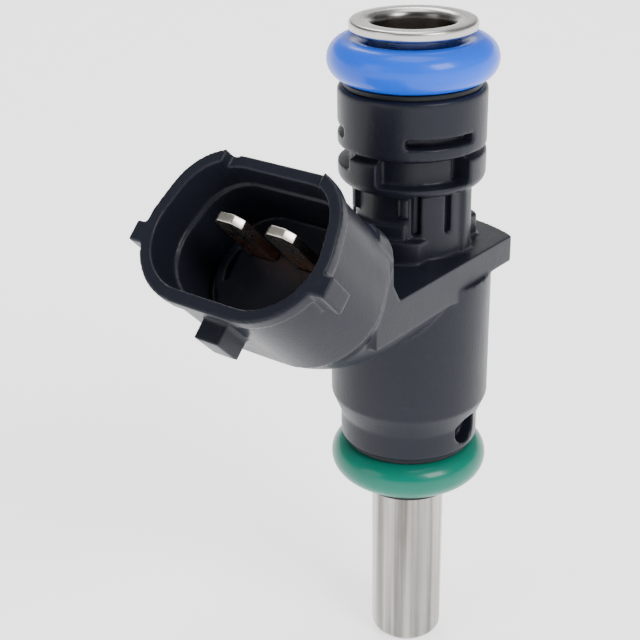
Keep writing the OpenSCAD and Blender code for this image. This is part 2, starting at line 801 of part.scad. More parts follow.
// Copper winding, with the round wires of its outer layer showing
module coil_winding() {
    low_z = bobbin_low_z + bobbin_flange_t + press_gap;
    top_z = bobbin_top_z - bobbin_flange_t - press_gap;
    turns = floor((top_z - low_z) / winding_wire);
    wire_r = winding_wire / 2;
    color("#b4622d")
        rotate_extrude() {
            translate([barrel_r + press_gap, low_z])
                square([winding_depth - press_gap - wire_r, turns * winding_wire]);
            for (i = [0:turns - 1])
                translate([winding_r - wire_r, low_z + (i + 0.5) * winding_wire]) circle(r = wire_r);
        }
}

// Two wire ends that come up from the winding to the feet of the terminals
module coil_leads() {
    low_z = bobbin_top_z - bobbin_flange_t - press_gap;
    color("#b4622d")
        for (side = [-1, 1])
            translate([lead_x, side * blade_pitch / 2, low_z])
                cylinder(r = lead_r, h = can_top_z - low_z - 2 * press_gap, $fn = 24);
}

module magnet_housing() {
    neck_root = 0.5;
    color("#8f8d88")
        difference() {
            union() {
                translate([0, 0, can_low_z]) cylinder(r = can_r, h = can_top_z - can_low_z);
                translate([0, 0, can_neck_low_z])
                    cylinder(r = can_neck_r, h = can_low_z - can_neck_low_z + neck_root);
            }
            translate([0, 0, can_floor_z]) cylinder(r = can_bore_r, h = can_top_z - can_floor_z + over);
            translate([0, 0, can_neck_low_z - over]) cylinder(r = nose_r + press_gap, h = plate_low_z);
        }
}

// Steel ring that closes the magnet on top, cut open for the terminals
module flux_cover() {
    cut_half_w = max(foot_far_y, nose_r) + flux_cut_gap;
    color("#8f8d88")
        difference() {
            ring(can_r, nose_r + press_gap, can_top_z, flux_top_z);
            translate([-can_r - over, -cut_half_w, can_top_z - over])
                cube([can_r + over, 2 * cut_half_w, flux_t + 2 * over]);
        }
}

// Thin drawn tube of the nose, turned in round the nozzle at its lower end
module valve_sleeve() {
    turn_c = nose_r - nose_round;
    inner_round = nose_round - nose_wall;
    color("#b9b6b0")
        rotate_extrude() {
            translate([bore_r, nose_round]) square([nose_wall, nose_free_z - nose_round]);
            translate([bore_r, nose_free_z])
                square([nose_wall - nose_relief, bush_top_z - nose_free_z]);
            translate([bore_r, bush_top_z]) square([nose_wall, sleeve_top_z - bush_top_z]);
            translate([tip_hole_r, 0]) square([turn_c - tip_hole_r, nose_wall]);
            intersection() {
                difference() {
                    translate([turn_c, nose_round]) circle(r = nose_round);
                    translate([turn_c, nose_round]) circle(r = inner_round);
                }
                translate([turn_c, 0]) square([nose_round, nose_round]);
            }
        }
}

module stator_core() {
    color("#9c9a95") ring(bore_r - press_gap, spring_bore_r, stator_low_z, stator_top_z);
}

// Slotted sleeve pressed into the stator; its depth sets the spring's force
module adjusting_sleeve() {
    slot_half_w = 0.2;
    wall = 0.48;
    outer_r = spring_bore_r - press_gap;
    color("#b9b6b0")
        difference() {
            ring(outer_r, outer_r - wall, adjuster_low_z, adjuster_low_z + adjuster_h);
            translate([0, -slot_half_w, adjuster_low_z - over])
                cube([spring_bore_r + over, 2 * slot_half_w, adjuster_h + 2 * over]);
        }
}

// Height of the spring's wire after some turns: its end turns lie close, the rest is open
function spring_rise(turn, open_pitch) =
    spring_wire * min(turn, 1)
    + open_pitch * max(0, min(turn, spring_turns - 1) - 1)
    + spring_wire * max(0, turn - spring_turns + 1);

// Helix of round wire between the armature's pocket and the adjusting sleeve
module return_spring() {
    sides = 8;
    steps = 20;
    pocket_gap = 0.1;
    end_gap = 0.01;
    wire_r = spring_wire / 2;
    coil_r = spring_bore_r - pocket_gap - wire_r;
    low_z = pocket_z + wire_r + end_gap;
    length = adjuster_low_z - pocket_z - spring_wire - 2 * end_gap;
    open_pitch = (length - 2 * spring_wire) / (spring_turns - 2);
    rings = spring_turns * steps;
    points = [for (i = [0:rings], k = [0:sides - 1])
        let (turn = i / steps, a = 360 * turn, b = 360 * k / sides, r = coil_r + wire_r * cos(b))
        [r * cos(a), r * sin(a), low_z + spring_rise(turn, open_pitch) + wire_r * sin(b)]];
    walls = [for (i = [0:rings - 1], k = [0:sides - 1])
        let (n = (k + 1) % sides)
        [i * sides + k, i * sides + n, (i + 1) * sides + n, (i + 1) * sides + k]];
    first_end = [for (k = [0:sides - 1]) sides - 1 - k];
    last_end = [for (k = [0:sides - 1]) rings * sides + k];
    color("#a8a49c") polyhedron(points, concat([first_end], walls, [last_end]));
}

module armature() {
    color("#9c9a95")
        difference() {
            translate([0, 0, armature_low_z])
                cylinder(r = bore_r - running_gap, h = armature_h);
            translate([0, 0, armature_low_z - over]) cylinder(r = needle_r + press_gap, h = armature_h);
            translate([0, 0, pocket_z]) cylinder(r = spring_bore_r, h = armature_h);
        }
}

// Thin tube that carries the ball, with cross holes that let the fuel out
module needle_tube() {
    top_z = pocket_z - 0.1;
    joint_gap = 0.005;
    cross_hole_r = 0.35;
    low_hole_rise = 2;
    high_hole_drop = 4;
    color("#b9b6b0")
        difference() {
            translate([0, 0, ball_z]) cylinder(r = needle_r, h = top_z - ball_z);
            translate([0, 0, ball_z - over]) cylinder(r = needle_bore_r, h = top_z - ball_z + 2 * over);
            translate([0, 0, ball_z]) sphere(r = ball_r + joint_gap);
            for (z = [ball_z + ball_r + low_hole_rise, armature_low_z - high_hole_drop])
                translate([0, 0, z])
                    rotate([90, 0, 0]) cylinder(r = cross_hole_r, h = 4 * needle_r, center = true);
        }
}

module valve_ball() {
    color("#d6d4d0") translate([0, 0, ball_z]) sphere(r = ball_r);
}

// Seat with a 45 degree cone under the ball
module valve_seat() {
    outer_r = bore_r - press_gap;
    chamfer = 0.4;
    color("#9c9a95")
        rotate_extrude()
            polygon([[seat_hole_r, seat_z], [outer_r - chamfer, seat_z], [outer_r, seat_z + chamfer],
                     [outer_r, seat_top_z], [seat_top_r, seat_top_z], [seat_hole_r, seat_floor_z]]);
}

// Ring that guides the ball, with slots that let fuel past it
module guide_ring() {
    slots = 5;
    slot_r = 0.38;
    low_z = seat_top_z + press_gap;
    color("#b9b6b0")
        difference() {
            ring(bore_r - press_gap, ball_r + ball_gap, low_z, low_z + guide_h);
            for (i = [0:slots - 1])
                rotate([0, 0, 360 * i / slots])
                    translate([(bore_r + ball_r) / 2, 0, low_z - over])
                        cylinder(r = slot_r, h = guide_h + 2 * over, $fn = 32);
        }
}

module orifice_plate() {
    holes = 4;
    hole_ring_r = 0.36;
    color("#c4c2be")
        difference() {
            translate([0, 0, plate_z]) cylinder(r = nose_r - nose_round, h = orifice_t);
            for (i = [0:holes - 1])
                rotate([0, 0, 45 + 360 * i / holes])
                    translate([hole_ring_r, 0, plate_z - over])
                        cylinder(r = spray_r, h = orifice_t + 2 * over, $fn = 24);
        }
}

body_overmold();
inlet_tube();
upper_o_ring();
upper_support_ring();
filter_ring();
filter_frame();
filter_mesh();
terminal_left();
terminal_right();
coil_bobbin();
coil_winding();
coil_leads();
magnet_housing();
flux_cover();
valve_sleeve();
stator_core();
adjusting_sleeve();
return_spring();
armature();
needle_tube();
valve_ball();
valve_seat();
guide_ring();
orifice_plate();
lower_o_ring();
lower_support_ring();
seal_bush();
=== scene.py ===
# %% [markdown]
# # A port fuel injector
# The injector is a solenoid valve in a moulded plastic body, with a two-pin socket at 45
# degrees, a steel nose and a coloured sealing ring at each end. The CAD model is loaded as a
# fixed frame, and this script gives it its looks: moulded fillets, lathe-turned metal,
# bevelled blades, and a procedural material for every piece.

# %% Load the frame
import math

import bmesh
import bpy
from mathutils import Matrix, Vector


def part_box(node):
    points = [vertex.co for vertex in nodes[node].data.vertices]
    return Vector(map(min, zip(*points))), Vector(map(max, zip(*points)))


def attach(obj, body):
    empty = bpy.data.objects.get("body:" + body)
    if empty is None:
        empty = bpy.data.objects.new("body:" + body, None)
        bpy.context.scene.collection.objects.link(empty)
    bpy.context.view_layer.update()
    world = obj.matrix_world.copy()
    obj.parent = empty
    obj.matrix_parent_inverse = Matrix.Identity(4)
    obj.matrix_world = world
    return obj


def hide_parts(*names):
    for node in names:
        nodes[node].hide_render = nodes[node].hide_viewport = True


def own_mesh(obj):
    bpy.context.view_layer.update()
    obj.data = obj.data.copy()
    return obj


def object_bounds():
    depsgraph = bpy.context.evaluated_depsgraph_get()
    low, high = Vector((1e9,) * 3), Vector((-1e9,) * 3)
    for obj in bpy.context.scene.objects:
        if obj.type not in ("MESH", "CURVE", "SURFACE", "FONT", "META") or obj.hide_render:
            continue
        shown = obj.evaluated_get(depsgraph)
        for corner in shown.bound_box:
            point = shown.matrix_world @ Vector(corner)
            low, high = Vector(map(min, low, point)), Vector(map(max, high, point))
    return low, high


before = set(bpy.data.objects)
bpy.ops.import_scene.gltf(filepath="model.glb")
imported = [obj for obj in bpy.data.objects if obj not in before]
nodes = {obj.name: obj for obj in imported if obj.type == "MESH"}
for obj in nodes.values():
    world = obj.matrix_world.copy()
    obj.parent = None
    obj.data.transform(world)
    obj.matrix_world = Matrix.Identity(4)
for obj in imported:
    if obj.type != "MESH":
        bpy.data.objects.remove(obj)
cad_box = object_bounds()
MM = 0.001
print("loaded", len(nodes), "nodes, box in mm:", [round(v / MM, 1) for c in cad_box for v in c])

# %% [markdown]
# ## A short way to write shader maths
# Node trees are graphs, but most of what they hold is arithmetic. A small class wraps an
# output socket, so that `noise * 0.5 + 0.2` adds the Math nodes by itself. Any other node
# comes from one method, which sets the node's settings first and then its inputs.


# %% A number in a node tree
class Value:
    """One number in a node tree. Its operators add Math nodes."""

    def __init__(self, shader, socket):
        self.shader = shader
        self.socket = socket

    def maths(self, operation, *others):
        return self.shader.add("ShaderNodeMath", {"operation": operation}, [self, *others])

    def __add__(self, other):
        return self.maths("ADD", other)

    def __sub__(self, other):
        return self.maths("SUBTRACT", other)

    def __mul__(self, other):
        return self.maths("MULTIPLY", other)

    def __rsub__(self, other):
        return self.shader.add("ShaderNodeMath", {"operation": "SUBTRACT"}, [other, self])

    __radd__ = __add__
    __rmul__ = __mul__

    def between(self, low, high):
        """0 below low, 1 above high, and a smooth step from one to the other."""
        settings = {"interpolation_type": "SMOOTHSTEP"}
        return self.shader.add("ShaderNodeMapRange", settings, [self, low, high, 0.0, 1.0])


print("numbers can be added, subtracted and multiplied")

# %% [markdown]
# ## A material's node tree
# Each material is one Principled BSDF. Every pattern on it is read in the object's own
# coordinates, so it stays put on the piece when the piece moves.

# %% Materials
# A Mix node has sockets for numbers, vectors and colours. These are the colour ones.
COLOUR_A = 6
COLOUR_B = 7
MIXED_COLOUR = 2


class Shader:
    """A material's node tree with a Principled BSDF, read in Object coordinates."""

    def __init__(self, name, colour, metallic=0.0, roughness=0.5, **fixed):
        self.material = bpy.data.materials.new(name)
        self.material.use_nodes = True
        self.tree = self.material.node_tree
        self.surface = self.tree.nodes["Principled BSDF"]
        self.surface.inputs["Base Color"].default_value = (*colour, 1.0)
        self.surface.inputs["Metallic"].default_value = metallic
        self.surface.inputs["Roughness"].default_value = roughness
        for socket, value in fixed.items():
            self.surface.inputs[socket.replace("_", " ")].default_value = value
        self.place = self.add("ShaderNodeTexCoord", {}, [], output="Object")

    def add(self, kind, settings, inputs, output=0):
        """Adds one node. Inputs go to its sockets in order, or by name from a dict."""
        node = self.tree.nodes.new(kind)
        for key, value in settings.items():
            setattr(node, key, value)
        pairs = inputs.items() if isinstance(inputs, dict) else enumerate(inputs)
        for key, value in pairs:
            if isinstance(value, Value):
                self.tree.links.new(value.socket, node.inputs[key])
            elif value is not None:
                node.inputs[key].default_value = value
        return Value(self, node.outputs[output])

    def noise(self, scale, detail=3.0, roughness=0.55, stretch=(1.0, 1.0, 1.0)):
        """Noise with about scale bumps a metre, stretched along the axes."""
        place = self.add("ShaderNodeMapping", {}, {"Vector": self.place, "Scale": stretch})
        inputs = {"Vector": place, "Scale": scale, "Detail": detail, "Roughness": roughness}
        return self.add("ShaderNodeTexNoise", {}, inputs, output="Fac")

    def axis(self, name):
        """The x, y or z of the point, in metres."""
        return self.add("ShaderNodeSeparateXYZ", {}, [self.place], output=name.upper())

    def blend(self, amount, under, over):
        """Lays a plain colour over another node's colour."""
        inputs = {"Factor": amount, COLOUR_A: under, COLOUR_B: (*over, 1.0)}
        return self.add("ShaderNodeMix", {"data_type": "RGBA"}, inputs, output=MIXED_COLOUR)

    def mix(self, amount, low, high):
        """Mixes two plain colours."""
        return self.blend(amount, (*low, 1.0), high)

    def to(self, socket, value):
        self.tree.links.new(value.socket, self.surface.inputs[socket])

    def bump(self, height, depth):
        """Height from 0 to 1 becomes relief of that depth in metres."""
        inputs = {"Strength": 1.0, "Distance": depth, "Height": height}
        self.to("Normal", self.add("ShaderNodeBump", {}, inputs, output="Normal"))


print("materials can be built")

# %% [markdown]
# ## Moulded plastic
# Glass-filled nylon comes out of a fine spark-eroded mould: blue-black, satin, with a faint
# grain and slightly cloudy gloss where the melt flowed. Three scales of noise give those:
# centimetres for the clouds, a millimetre for flow marks and a tenth for the grain.


# %% Plastics
def moulded(name, colour, light, roughness):
    shader = Shader(name, colour, roughness=roughness, Specular_IOR_Level=0.18)
    clouds = shader.noise(120.0)
    flow = shader.noise(700.0, stretch=(1.0, 1.0, 0.35))
    fine = shader.noise(4200.0, detail=3.0)
    scuffs = shader.noise(900.0, detail=5.0, roughness=0.7).between(0.56, 0.72)
    tone = clouds * 0.45 + fine * 0.4 + scuffs * 0.35
    shader.to("Base Color", shader.mix(tone, colour, light))
    gloss = clouds * 0.16 + flow * 0.10 + fine * 0.08 + scuffs * 0.08
    shader.to("Roughness", gloss + (roughness - 0.18))
    shader.bump(fine * 0.5 + flow * 0.5, 0.026 * MM)
    return shader.material


body_plastic = moulded("moulded_body_plastic", (0.0065, 0.0075, 0.0125), (0.013, 0.015, 0.023), 0.36)
support_plastic = moulded("support_plastic", (0.006, 0.007, 0.009), (0.012, 0.013, 0.016), 0.45)
natural_plastic = moulded("natural_plastic", (0.55, 0.50, 0.38), (0.72, 0.67, 0.54), 0.42)
print("plastics: 3")

# %% [markdown]
# ## Sealing-ring rubber
# Fluoro rubber rings are moulded smooth and arrive lightly oiled, so they shine: a clear coat
# over a soft base gives a broad and a sharp highlight together.


# %% Rubbers
def rubber(name, colour, light):
    shader = Shader(name, colour, roughness=0.34, Specular_IOR_Level=0.2,
                    Coat_Weight=0.22, Coat_Roughness=0.12)
    clouds = shader.noise(260.0)
    specks = shader.noise(5200.0, detail=4.0)
    shader.to("Base Color", shader.mix(clouds * 0.7 + specks * 0.3, colour, light))
    shader.to("Roughness", clouds * 0.14 + specks * 0.08 + 0.22)
    shader.bump(specks * 0.4 + clouds * 0.6, 0.010 * MM)
    return shader.material


blue_rubber = rubber("blue_rubber", (0.0, 0.078, 0.640), (0.0, 0.110, 0.800))
green_rubber = rubber("green_rubber", (0.0, 0.115, 0.078), (0.0, 0.165, 0.112))
print("rubbers: 2")

# %% [markdown]
# ## Metals
# A drawn tube has fine streaks along its length, and a turned face has fine rings round its
# axis. Both are noise: the streaks stretch it along Z, and the rings read only the distance
# from the axis and the height. On the nose, broad light and dark streaks in the colour are
# painted reflection. The inlet's bore gets painted shade: that one metal turns dark inside a
# radius, where the hole lies in shade.


# %% Metals
# Painted shade: the inlet's bore is coloured dark inside a radius, with a ragged edge this wide.
BORE_SHADE_EDGE = 0.3 * MM


def drawn(name, colour, light, roughness):
    """Steel with streaks along Z: fine drawing marks, and broad light and dark bands in the colour
    that are painted reflection.
    """
    shader = Shader(name, colour, metallic=1.0, roughness=roughness)
    streaks_and_painted_reflection = shader.noise(900.0, detail=2.0, stretch=(1.0, 1.0, 0.02))
    fine = shader.noise(6500.0, detail=3.0, stretch=(1.0, 1.0, 0.03))
    stains = shader.noise(380.0)
    # Painted reflection: the broad bands swing the colour from near black to bright, as streaks of
    # reflection would. The fine streaks are drawing marks.
    tone = streaks_and_painted_reflection.between(0.30, 0.72) * 0.72 + fine * 0.18 + stains * 0.10
    shader.to("Base Color", shader.mix(tone, colour, light))
    shader.to("Roughness", streaks_and_painted_reflection * 0.10 + fine * 0.12 + stains * 0.06 + (roughness - 0.14))
    shader.bump(fine * 0.6 + streaks_and_painted_reflection * 0.4, 0.006 * MM)
    return shader.material


def turned(name, colour, light, roughness, painted_bore_shade=None, shade_radius=0.0):
    """Metal with fine rings round the Z axis, with painted shade inside a radius where that is
    given.
    """
    shader = Shader(name, colour, metallic=1.0, roughness=roughness)
    x, y, z = (shader.axis(letter) for letter in "xyz")
    radius = (x * x + y * y).maths("SQRT")
    rings = shader.add("ShaderNodeCombineXYZ", {}, [radius, z, 0.0])
    marks_in = {"Vector": rings, "Scale": 9000.0, "Detail": 3.0}
    marks = shader.add("ShaderNodeTexNoise", {}, marks_in, output="Fac")
    stains = shader.noise(420.0)
    metal = shader.mix(marks * 0.4 + stains * 0.6, colour, light)
    # Painted shade: inside the given radius the metal is darkened where the bore lies in shade, and
    # the noise makes the edge ragged.
    if painted_bore_shade:
        ragged_radius = radius + stains * BORE_SHADE_EDGE
        bore_shade_mask = 1.0 - ragged_radius.between(shade_radius, shade_radius + BORE_SHADE_EDGE)
        metal = shader.blend(bore_shade_mask * 0.9, metal, painted_bore_shade)
    shader.to("Base Color", metal)
    shader.to("Roughness", marks * 0.16 + stains * 0.10 + (roughness - 0.13))
    shader.bump(marks, 0.006 * MM)
    return shader.material


# The nose's near-black dark tone and bright light tone make its painted reflection streaks.
nose_steel = drawn("drawn_nose_steel", (0.075, 0.068, 0.060), (0.54, 0.52, 0.49), 0.26)
fine_steel = turned("turned_fine_steel", (0.50, 0.49, 0.47), (0.68, 0.67, 0.65), 0.30)
# The inlet gets painted shade in its bore, dark inside 3.62 mm.
inlet_steel = turned("turned_inlet_steel", (0.40, 0.39, 0.37), (0.60, 0.59, 0.57), 0.30,
                     painted_bore_shade=(0.045, 0.042, 0.038), shade_radius=3.62 * MM)
magnet_steel = turned("turned_magnet_steel", (0.34, 0.33, 0.31), (0.46, 0.45, 0.43), 0.42)
ball_steel = turned("polished_ball_steel", (0.70, 0.70, 0.70), (0.78, 0.78, 0.78), 0.16)
brass = turned("turned_brass", (0.36, 0.24, 0.09), (0.52, 0.37, 0.16), 0.36)
copper = turned("enamelled_copper", (0.48, 0.15, 0.04), (0.66, 0.26, 0.09), 0.30)
spring_steel = turned("spring_steel", (0.38, 0.37, 0.35), (0.52, 0.51, 0.49), 0.34)
print("metals: 8")

# %% [markdown]
# ## Terminals, woven mesh
# The blades are stamped from copper strip and tinned. The tin is bright at the tip, and wears
# and darkens towards the copper foot, so the colour follows the distance along the connector's
# slanted axis. The filter's mesh is woven, so its pattern follows the angle and the height.

# %% Terminal and mesh materials
TILT = math.radians(45.6)
CONN_AXIS_Z = 26.68 * MM
SOCKET_FLOOR = 23.98 * MM
BARE_TO = 3.6 * MM
TINNED_FROM = 7.2 * MM
WEAR_EDGE = 1.6 * MM


def tinned(name, tin, copper_tone):
    shader = Shader(name, tin, metallic=1.0, roughness=0.3)
    x, z = shader.axis("x"), shader.axis("z")
    along = (z - CONN_AXIS_Z) * math.sin(TILT) - x * math.cos(TILT)
    streaks = shader.noise(1500.0, stretch=(0.3, 1.0, 0.3))
    pits = shader.noise(5200.0, detail=4.0)
    worn_edge = along + streaks * WEAR_EDGE
    bare = 1.0 - worn_edge.between(SOCKET_FLOOR + BARE_TO, SOCKET_FLOOR + TINNED_FROM)
    shader.to("Base Color", shader.mix(bare * 0.75, tin, copper_tone))
    shader.to("Roughness", streaks * 0.18 + pits * 0.12 + 0.14)
    shader.bump(pits * 0.5 + streaks * 0.5, 0.008 * MM)
    return shader.material


def woven(name, colour, light, wires, pitch):
    shader = Shader(name, colour, roughness=0.5)
    x, y, z = (shader.axis(letter) for letter in "xyz")
    round_way = (y.maths("ARCTAN2", x) * wires).maths("SINE")
    up_way = (z * (2 * math.pi / pitch)).maths("SINE")
    weave = round_way * up_way * 0.5 + 0.5
    dust = shader.noise(2500.0)
    shader.to("Base Color", shader.mix(weave * 0.7 + dust * 0.3, colour, light))
    shader.to("Roughness", dust * 0.2 + weave * 0.15 + 0.3)
    shader.bump(weave, 0.04 * MM)
    return shader.material


blade_tin = tinned("tinned_blade", (0.56, 0.52, 0.47), (0.80, 0.34, 0.15))
WIRES_ROUND = 60
WIRE_PITCH = 0.24 * MM
mesh_wire = woven("woven_mesh", (0.30, 0.29, 0.25), (0.72, 0.70, 0.62), WIRES_ROUND, WIRE_PITCH)
print("all materials:", len(bpy.data.materials))

# %% [markdown]
# ## The moulded body
# One shot of plastic makes the socket, the plate, the ribbed neck and the barrel, and every
# edge of it has a small round left by the mould. Bevels can't follow the many curved seams
# where these shapes run into each other. So a merged copy of the CAD shape is remeshed in fine
# voxels, relaxed until each edge is rounded by about the right radius, and thinned again
# where it is flat.

# %% Moulded body
VOXEL = 0.15 * MM
EDGE_PASSES = 5
MOST_TRIANGLES = 180000
DOUBLES = 0.0002 * MM


def placed(name, mesh):
    """A new object for a mesh, at the origin."""
    piece = bpy.data.objects.new(name, mesh)
    bpy.context.scene.collection.objects.link(piece)
    return piece


def merged_copy(node, name):
    """A new object with a CAD node's shape, its loose triangles joined up."""
    mesh = nodes[node].data.copy()
    mesh.materials.clear()
    shape = bmesh.new()
    shape.from_mesh(mesh)
    bmesh.ops.remove_doubles(shape, verts=shape.verts, dist=DOUBLES)
    shape.to_mesh(mesh)
    shape.free()
    mesh.name = name
    return placed(name, mesh)


def apply_modifiers(piece):
    """Swaps the piece's mesh for what its modifiers make of it."""
    graph = bpy.context.evaluated_depsgraph_get()
    result = bpy.data.meshes.new_from_object(piece.evaluated_get(graph), depsgraph=graph)
    piece.modifiers.clear()
    piece.data = result


def dress(piece, body, material, slot, *replaced):
    """Gives a finished piece its body and material, and hides what it stands for. The slot is not
    used.
    """
    piece.data.materials.clear()
    piece.data.materials.append(material)
    piece.data.polygons.foreach_set("use_smooth", [True] * len(piece.data.polygons))
    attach(piece, body)
    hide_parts(*replaced)
    print(piece.name, "has", len(piece.data.polygons), "faces")


moulded_body = merged_copy("body_overmold", "moulded_body")
remesh = moulded_body.modifiers.new("voxels", "REMESH")
remesh.mode = "VOXEL"
remesh.voxel_size = VOXEL
relax = moulded_body.modifiers.new("rounds", "SMOOTH")
relax.factor = 0.5
relax.iterations = EDGE_PASSES
apply_modifiers(moulded_body)
fine_count = len(moulded_body.data.polygons) * 2
thin = moulded_body.modifiers.new("thin", "DECIMATE")
thin.ratio = min(1.0, MOST_TRIANGLES / fine_count)
apply_modifiers(moulded_body)
dress(moulded_body, "injector_body", body_plastic, "overmold_plastic", "body_overmold")
print("voxels gave", fine_count, "triangles before thinning")

# %% [markdown]
# ## Turned and drawn pieces
# A lathe turns a profile about an axis, and so does this helper. The profile is a list of
# corners, each with its distance from the axis, its height and its rounding. It is drawn as one
# flat face so that a vertex bevel can round the corners. Then the face goes, and its outline
# is spun a full turn.

# %% Lathe
TURN_STEPS = 160
ROUND_STEPS = 5


def full_turn(shape, steps):
    """Spins a shape's edges all the way round the injector's axis."""
    bmesh.ops.spin(shape, geom=list(shape.edges), axis=(0, 0, 1), cent=(0, 0, 0), steps=steps,
                   angle=2 * math.pi, use_merge=True)


def close_up(shape, name):
    """Joins a shape's doubles, points its faces outwards and makes it an object."""
    bmesh.ops.remove_doubles(shape, verts=shape.verts, dist=DOUBLES)
    bmesh.ops.recalc_face_normals(shape, faces=shape.faces)
    open_edges = sum(1 for edge in shape.edges if not edge.is_manifold)
    print(name, "has", open_edges, "open edges")
    mesh = bpy.data.meshes.new(name)
    shape.to_mesh(mesh)
    shape.free()
    return placed(name, mesh)


def lathe(name, corners):
    """Spins a closed profile. Corners are (radius, height, rounding) in mm, in order."""
    shape = bmesh.new()
    verts = [shape.verts.new((r * MM, 0.0, z * MM)) for r, z, rounding in corners]
    shape.faces.new(verts)
    for vert, (r, z, rounding) in zip(verts, corners):
        if rounding:
            reach = rounding * MM
            bmesh.ops.bevel(shape, geom=[vert], offset=reach, offset_type="OFFSET", profile=0.5,
                            segments=ROUND_STEPS, affect="VERTICES", material=-1,
                            clamp_overlap=False)
    bmesh.ops.delete(shape, geom=list(shape.faces), context="FACES_ONLY")
    full_turn(shape, TURN_STEPS)
    return close_up(shape, name)


def reach_of(node):
    """A round node's largest radius, lowest and highest point, in mm."""
    low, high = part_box(node)
    return high[0] / MM, low[2] / MM, high[2] / MM


print("the drawn nose reaches", [round(v, 2) for v in reach_of("valve_sleeve")])

# %% [markdown]
# ## Steel nose and inlet
# The nose is a deep-drawn cup with a turned-in end, so its lower edge has a generous round and
# its free corners only a trace of one. Above it the bush sits in a shallow groove. The inlet is
# a tube whose top is spread into a flange with a rounded mouth, where the fuel comes in.

# %% Steel nose and inlet
NOSE_R, nose_low, nose_top = reach_of("valve_sleeve")
NOSE_WALL = 0.42
GROOVE = 0.16
TIP_HOLE_R = 2.2
NOSE_ROUND = 0.9
PRESS_GAP = 0.02
TIP_EDGE = 0.06
TUBE_EDGE = 0.05
bush_r, bush_low, bush_top = reach_of("seal_bush")
groove_low = bush_low - PRESS_GAP
groove_top = bush_top + PRESS_GAP
bore_r = NOSE_R - NOSE_WALL
groove_r = NOSE_R - GROOVE
nose_profile = [
    (TIP_HOLE_R, nose_low, TIP_EDGE),
    (NOSE_R, nose_low, NOSE_ROUND),
    (NOSE_R, groove_low, TUBE_EDGE),
    (groove_r, groove_low, 0.0),
    (groove_r, groove_top, 0.0),
    (NOSE_R, groove_top, 0.0),
    (NOSE_R, nose_top, TUBE_EDGE),
    (bore_r, nose_top, TUBE_EDGE),
    (bore_r, nose_low + NOSE_WALL, NOSE_ROUND - NOSE_WALL),
    (TIP_HOLE_R, nose_low + NOSE_WALL, TIP_EDGE),
]
drawn_nose = lathe("drawn_nose", nose_profile)
dress(drawn_nose, "injector_body", nose_steel, "nose_steel", "valve_sleeve")

flange_r, inlet_low, inlet_top = reach_of("inlet_tube")
SEAT_R = 3.76
INLET_BORE_R = NOSE_R + PRESS_GAP
FLANGE_T = 0.9
SMALL_EDGE = 0.03
MOUTH_ROUND = 0.8
inlet_profile = [
    (INLET_BORE_R, inlet_low, SMALL_EDGE),
    (SEAT_R, inlet_low, SMALL_EDGE),
    (SEAT_R, inlet_top - FLANGE_T, 0.4),
    (flange_r, inlet_top - FLANGE_T, 0.28),
    (flange_r, inlet_top, 0.3),
    (INLET_BORE_R, inlet_top, MOUTH_ROUND),
]
turned_inlet = lathe("turned_inlet", inlet_profile)
dress(turned_inlet, "injector_body", inlet_steel, "stainless_steel", "inlet_tube")

# %% [markdown]
# ## Bush, support rings and seals
# The bush and the support rings are small mouldings with a trace of a round on each edge. The
# seals are plain rubber rings: a circle spun about the axis gives the exact shape, with enough
# steps that the highlights on it run smoothly.

# %% Bush, support rings and seals
BUSH_FLANGE_T = 1.18
BUSH_EDGE = 0.22
BUSH_FILLET = 0.12
EDGE = 0.09
SECTION_STEPS = 64
SEAL_TURN_STEPS = 224
bush_bore_r = groove_r + PRESS_GAP


def washer(name, node, inner_r):
    outer_r, low, high = reach_of(node)
    corners = [(inner_r, low, SMALL_EDGE), (outer_r, low, EDGE), (outer_r, high, EDGE)]
    return lathe(name, [*corners, (inner_r, high, SMALL_EDGE)])


bush_profile = [
    (bush_bore_r, bush_low, SMALL_EDGE),
    (bush_r, bush_low, BUSH_EDGE),
    (bush_r, bush_low + BUSH_FLANGE_T, BUSH_EDGE),
    (SEAT_R, bush_low + BUSH_FLANGE_T, BUSH_FILLET),
    (SEAT_R, bush_top, SMALL_EDGE),
    (bush_bore_r, bush_top, SMALL_EDGE),
]
seal_carrier = lathe("seal_carrier", bush_profile)
dress(seal_carrier, "injector_body", support_plastic, "support_plastic", "seal_bush")
lower_washer = washer("lower_washer", "lower_support_ring", NOSE_R + PRESS_GAP)
dress(lower_washer, "injector_body", support_plastic, "support_plastic", "lower_support_ring")
upper_washer = washer("upper_washer", "upper_support_ring", SEAT_R + PRESS_GAP)
dress(upper_washer, "injector_body", support_plastic, "support_plastic", "upper_support_ring")


def seal(name, node):
    """A rubber ring: a round section, spun about the injector's axis."""
    outer_r, low, high = reach_of(node)
    section_r = (high - low) / 2
    middle = Vector(((outer_r - section_r) * MM, 0.0, (low + section_r) * MM))
    shape = bmesh.new()
    upright = Matrix.Translation(middle) @ Matrix.Rotation(math.pi / 2, 4, "X")
    bmesh.ops.create_circle(shape, segments=SECTION_STEPS, radius=section_r * MM, matrix=upright)
    full_turn(shape, SEAL_TURN_STEPS)
    return close_up(shape, name)


upper_seal = seal("upper_seal", "upper_o_ring")
dress(upper_seal, "injector_body", blue_rubber, "blue_rubber", "upper_o_ring")
lower_seal = seal("lower_seal", "lower_o_ring")
dress(lower_seal, "injector_body", green_rubber, "green_rubber", "lower_o_ring")

# %% [markdown]
# ## Terminal blades
# A press stamps each blade and coins its edges. The CAD shape is made of flat faces, so its
# triangles dissolve back into those faces, and a small bevel on every sharp edge is the coining.

